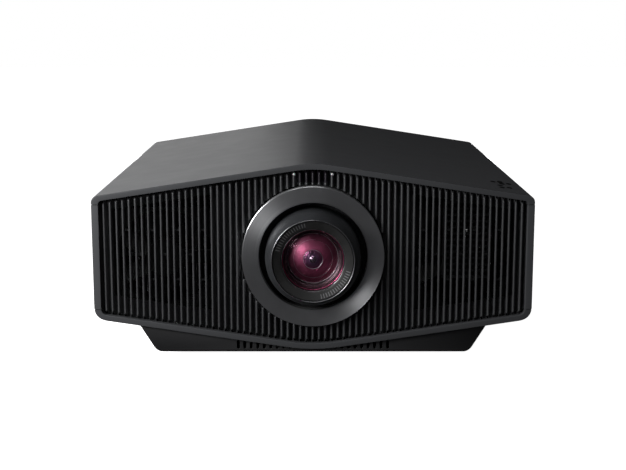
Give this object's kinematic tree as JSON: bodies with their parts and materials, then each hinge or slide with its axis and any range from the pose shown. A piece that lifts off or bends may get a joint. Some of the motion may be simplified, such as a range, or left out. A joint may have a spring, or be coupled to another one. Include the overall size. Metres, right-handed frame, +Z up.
{
  "type": "home theatre projector",
  "caption": "Home theatre projector with a low gabled casing, a ribbed vented front, a ringed lens on a powered shift stage, roof keys and adjustable front feet.",
  "frame": {"origin": "middle of the whole object in plan, on the surface that it stands on", "axes": "+X to the right as seen from the front, -Y out of the lens, +Z up"},
  "size_m": [0.46, 0.541, 0.2102],
  "materials": {
    "casing_plastic": "satin",
    "rib_plastic": "satin",
    "dark_plastic": "matte",
    "spun_metal": "satin",
    "lens_metal": "satin",
    "coated_glass": "gloss",
    "smoked_plastic": "gloss",
    "light_pipe": "gloss",
    "gear_plastic": "satin",
    "steel": "satin",
    "cast_aluminium": "matte",
    "copper": "satin",
    "circuit_board": "satin",
    "key_plastic": "gloss",
    "foot_rubber": "matte",
    "phosphor_disc": "matte",
    "filter_foam": "matte"
  },
  "bodies": {
    "chassis": {"top_cover": "casing_plastic", "side_panel_left": "casing_plastic", "side_panel_right": "casing_plastic", "bottom_cover": "casing_plastic", "base_tub": "dark_plastic", "rear_panel": "casing_plastic", "terminal_plate": "dark_plastic", "mains_inlet": "dark_plastic", "intake_filter": "filter_foam", "front_grille": "rib_plastic", "receiver_window": "smoked_plastic", "status_light_pipe": "light_pipe", "warning_light_pipe": "light_pipe", "receiver_board": "circuit_board", "vent_screen": "dark_plastic", "lens_ring": "spun_metal", "lens_shroud": "dark_plastic", "shift_frame": "cast_aluminium", "shift_motor_vertical": "steel", "optical_block": "cast_aluminium", "laser_module": "cast_aluminium", "heat_sink": "cast_aluminium", "heat_pipes": "copper", "fan_frame_left": "dark_plastic", "fan_frame_right": "dark_plastic", "power_supply": "circuit_board", "main_board": "circuit_board", "key_board": "circuit_board", "rear_foot_left": "foot_rubber", "rear_foot_right": "foot_rubber"},
    "key_up": {"key_up": "key_plastic"},
    "key_down": {"key_down": "key_plastic"},
    "key_left": {"key_left": "key_plastic"},
    "key_right": {"key_right": "key_plastic"},
    "key_enter": {"key_enter": "key_plastic"},
    "key_menu": {"key_menu": "key_plastic"},
    "key_input": {"key_input": "key_plastic"},
    "key_power": {"key_power": "key_plastic"},
    "lens_stage": {"shift_stage": "cast_aluminium", "shift_motor_horizontal": "steel"},
    "lens": {"lens_barrel": "lens_metal", "lens_front_ring": "lens_metal", "front_glass": "coated_glass", "second_glass": "coated_glass", "lens_flange": "cast_aluminium", "focus_motor": "steel", "zoom_motor": "steel"},
    "lead_screw": {"shift_screw_vertical": "steel"},
    "cross_screw": {"shift_screw_horizontal": "steel"},
    "focus_gear": {"focus_ring": "gear_plastic"},
    "zoom_gear": {"zoom_ring": "gear_plastic"},
    "focus_drive": {"focus_pinion": "gear_plastic"},
    "zoom_drive": {"zoom_pinion": "gear_plastic"},
    "fan_left": {"fan_rotor_left": "dark_plastic"},
    "fan_right": {"fan_rotor_right": "dark_plastic"},
    "colour_wheel": {"phosphor_wheel": "phosphor_disc"},
    "foot_left": {"front_foot_pad_left": "foot_rubber"},
    "foot_right": {"front_foot_pad_right": "foot_rubber"},
    "foot_screw_left": {"front_foot_screw_left": "steel"},
    "foot_screw_right": {"front_foot_screw_right": "steel"}
  },
  "joints": [
    {"name": "key_up_press", "type": "slide", "parent": "chassis", "child": "key_up", "axis": [-0.1532, 0, -0.9882], "range_m": [0, 0.0008], "stiffness_N_per_m": 1500},
    {"name": "key_down_press", "type": "slide", "parent": "chassis", "child": "key_down", "axis": [-0.1532, 0, -0.9882], "range_m": [0, 0.0008], "stiffness_N_per_m": 1500},
    {"name": "key_left_press", "type": "slide", "parent": "chassis", "child": "key_left", "axis": [-0.1532, 0, -0.9882], "range_m": [0, 0.0008], "stiffness_N_per_m": 1500},
    {"name": "key_right_press", "type": "slide", "parent": "chassis", "child": "key_right", "axis": [-0.1532, 0, -0.9882], "range_m": [0, 0.0008], "stiffness_N_per_m": 1500},
    {"name": "key_enter_press", "type": "slide", "parent": "chassis", "child": "key_enter", "axis": [-0.1532, 0, -0.9882], "range_m": [0, 0.0008], "stiffness_N_per_m": 1500},
    {"name": "key_menu_press", "type": "slide", "parent": "chassis", "child": "key_menu", "axis": [-0.1532, 0, -0.9882], "range_m": [0, 0.0008], "stiffness_N_per_m": 1500},
    {"name": "key_input_press", "type": "slide", "parent": "chassis", "child": "key_input", "axis": [-0.1532, 0, -0.9882], "range_m": [0, 0.0008], "stiffness_N_per_m": 1500},
    {"name": "key_power_press", "type": "slide", "parent": "chassis", "child": "key_power", "axis": [-0.1532, 0, -0.9882], "range_m": [0, 0.0008], "stiffness_N_per_m": 1500},
    {"name": "lens_shift_vertical", "type": "slide", "parent": "chassis", "child": "lens_stage", "axis": [0, 0, 1], "range_m": [-0.005, 0.005]},
    {"name": "lens_shift_horizontal", "type": "slide", "parent": "lens_stage", "child": "lens", "axis": [1, 0, 0], "range_m": [-0.003, 0.003]},
    {"name": "lead_screw_turn", "type": "hinge", "parent": "chassis", "child": "lead_screw", "pos_m": [-0.084, -0.1225, 0.1125], "axis": [0, 0, 1], "range_deg": [-451, 451]},
    {"name": "cross_screw_turn", "type": "hinge", "parent": "lens_stage", "child": "cross_screw", "pos_m": [0, -0.1325, 0.0385], "axis": [1, 0, 0], "range_deg": [-271, 271]},
    {"name": "focus_turn", "type": "hinge", "parent": "lens", "child": "focus_gear", "pos_m": [0, -0.1885, 0.1125], "axis": [0, 1, 0], "range_deg": [-40, 40]},
    {"name": "zoom_turn", "type": "hinge", "parent": "lens", "child": "zoom_gear", "pos_m": [0, -0.1695, 0.1125], "axis": [0, 1, 0], "range_deg": [-40, 40]},
    {"name": "focus_pinion_turn", "type": "hinge", "parent": "lens", "child": "focus_drive", "pos_m": [-0.03818, -0.1885, 0.15068], "axis": [0, 1, 0], "range_deg": [-201, 201]},
    {"name": "zoom_pinion_turn", "type": "hinge", "parent": "lens", "child": "zoom_drive", "pos_m": [0.03818, -0.1695, 0.15068], "axis": [0, 1, 0], "range_deg": [-201, 201]},
    {"name": "fan_left_spin", "type": "hinge", "parent": "chassis", "child": "fan_left", "pos_m": [-0.157, -0.2125, 0.107], "axis": [0, 1, 0], "continuous": true},
    {"name": "fan_right_spin", "type": "hinge", "parent": "chassis", "child": "fan_right", "pos_m": [0.157, -0.2125, 0.107], "axis": [0, 1, 0], "continuous": true},
    {"name": "phosphor_wheel_spin", "type": "hinge", "parent": "chassis", "child": "colour_wheel", "pos_m": [0.0826, -0.0315, 0.115], "axis": [1, 0, 0], "continuous": true},
    {"name": "front_foot_left_height", "type": "slide", "parent": "chassis", "child": "foot_left", "axis": [0, 0, -1], "range_m": [0, 0.008]},
    {"name": "front_foot_left_turn", "type": "hinge", "parent": "foot_left", "child": "foot_screw_left", "pos_m": [-0.135, -0.1765, 0.02], "axis": [0, 0, -1], "range_deg": [0, 1470]},
    {"name": "front_foot_right_height", "type": "slide", "parent": "chassis", "child": "foot_right", "axis": [0, 0, -1], "range_m": [0, 0.008]},
    {"name": "front_foot_right_turn", "type": "hinge", "parent": "foot_right", "child": "foot_screw_right", "pos_m": [0.135, -0.1765, 0.02], "axis": [0, 0, -1], "range_deg": [0, 1470]}
  ],
  "couplings": [
    {"joint": "lead_screw_turn", "follows": "lens_shift_vertical", "rad_per_m": 1570.8},
    {"joint": "cross_screw_turn", "follows": "lens_shift_horizontal", "rad_per_m": 1570.8},
    {"joint": "focus_pinion_turn", "follows": "focus_turn", "ratio": -5},
    {"joint": "zoom_pinion_turn", "follows": "zoom_turn", "ratio": -5},
    {"joint": "front_foot_left_turn", "follows": "front_foot_left_height", "rad_per_m": 3141.6},
    {"joint": "front_foot_right_turn", "follows": "front_foot_right_height", "rad_per_m": 3141.6}
  ]
}
